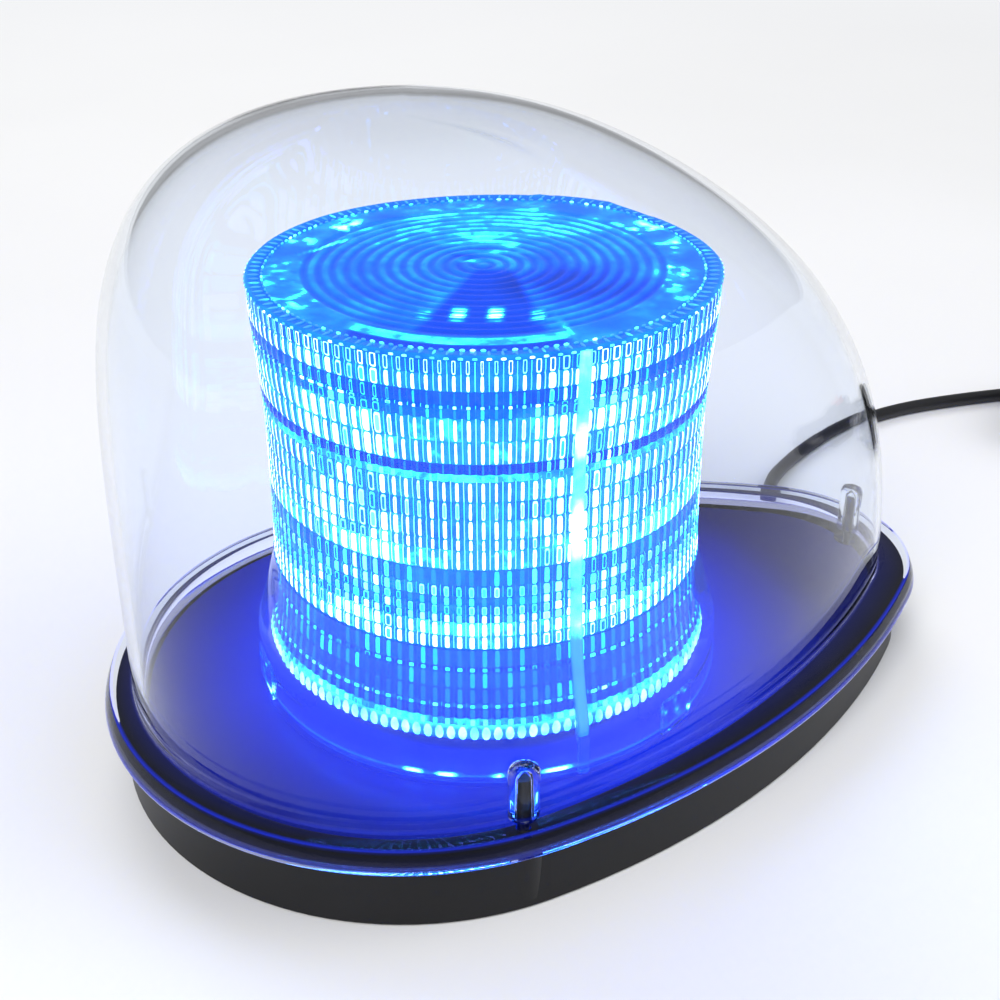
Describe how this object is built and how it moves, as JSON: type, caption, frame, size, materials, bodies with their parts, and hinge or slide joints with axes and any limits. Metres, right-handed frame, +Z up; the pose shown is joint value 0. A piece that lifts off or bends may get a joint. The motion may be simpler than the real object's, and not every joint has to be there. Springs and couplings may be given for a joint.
{
  "type": "rotating beacon",
  "caption": "Magnetic-mount vehicle warning beacon: streamlined clear dome over a lit blue fluted lens and LED tower on a black base, with a power cord and vehicle-socket plug.",
  "frame": {"origin": "on the inner lens's vertical axis, in the plane of the foot pad's underside, which rests on the vehicle's roof", "axes": "+Z up from the roof, +X towards the dome's narrow sloping tail, +Y towards the side where the cord leaves"},
  "size_m": [0.4311, 0.1855, 0.1667],
  "materials": {
    "black_shell": "black moulded ABS, fine grain",
    "rubber_pad": "black foam rubber foot pad",
    "black_rubber": "black moulded rubber",
    "magnet_cup": "zinc-plated pressed steel",
    "ferrite": "dark grey sintered ferrite",
    "zinc_steel": "zinc-plated steel",
    "clear_dome": "clear polished polycarbonate",
    "fluted_lens": "clear fluted polycarbonate, lit from inside",
    "aluminium": "pressed aluminium",
    "led_board": "white solder mask",
    "led_package": "LED package, blue when lit",
    "green_board": "green circuit board",
    "terminal": "natural nylon",
    "black_cord": "black PVC sheath, satin",
    "tip_metal": "nickel-plated brass",
    "fuse_glass": "glass tube with metal caps",
    "red_key": "red translucent plastic",
    "grey_key": "grey plastic"
  },
  "bodies": {
    "beacon": {"base_housing": "black_shell", "button_switch": "black_shell", "centre_post": "zinc_steel", "cord_coil": "black_cord", "cord_grommet": "black_rubber", "cord_tail": "black_cord", "cord_tube": "black_cord", "deck_plate": "black_shell", "dome_gasket": "black_rubber", "dome_screws": "zinc_steel", "driver_board": "green_board", "driver_capacitors": "black_shell", "driver_chips": "black_shell", "driver_inductor": "ferrite", "driver_screws": "zinc_steel", "foot_pad": "rubber_pad", "harness_socket": "terminal", "inner_lead": "black_cord", "inner_lens": "fluted_lens", "lens_seal": "black_rubber", "magnet_cup_1": "magnet_cup", "magnet_cup_2": "magnet_cup", "magnet_cup_3": "magnet_cup", "magnet_nuts": "zinc_steel", "magnet_rings": "ferrite", "magnet_screws": "zinc_steel", "outer_dome": "clear_dome", "plug_board": "green_board", "plug_fuse": "fuse_glass", "plug_fuse_holder": "black_shell", "plug_ground_contacts": "zinc_steel", "plug_lower_shell": "black_shell", "plug_nose_cap": "black_shell", "plug_relief": "black_rubber", "plug_tip_spring": "zinc_steel", "plug_upper_shell": "black_shell", "rocker_switch": "black_shell", "side_board_1": "led_board", "side_board_2": "led_board", "side_board_3": "led_board", "side_board_4": "led_board", "side_board_5": "led_board", "side_board_6": "led_board", "side_leds_1": "led_package", "side_leds_2": "led_package", "side_leds_3": "led_package", "side_leds_4": "led_package", "side_leds_5": "led_package", "side_leds_6": "led_package", "terminal_block": "terminal", "top_board": "led_board", "top_leds": "led_package", "top_screw": "zinc_steel", "tower_core": "aluminium", "tower_foot": "aluminium", "tower_harness": "black_cord", "tower_screws": "zinc_steel"},
    "tip": {"plug_tip": "tip_metal"},
    "rocker": {"plug_rocker": "red_key"},
    "button": {"plug_button": "grey_key"}
  },
  "joints": [
    {"name": "tip_press", "type": "slide", "parent": "beacon", "child": "tip", "axis": [0, 1, 0], "range_m": [0, 0.004], "stiffness_N_per_m": 1200, "springref_m": -0.001, "deforming": ["plug_tip_spring"]},
    {"name": "rocker_tilt", "type": "hinge", "parent": "beacon", "child": "rocker", "pos_m": [0.3158, -0.015, 0.024], "axis": [-1, 0, 0], "range_deg": [0, 16]},
    {"name": "button_press", "type": "slide", "parent": "beacon", "child": "button", "axis": [0, 0, -1], "range_m": [0, 0.0008], "stiffness_N_per_m": 2000, "springref_m": -0.0002}
  ]
}
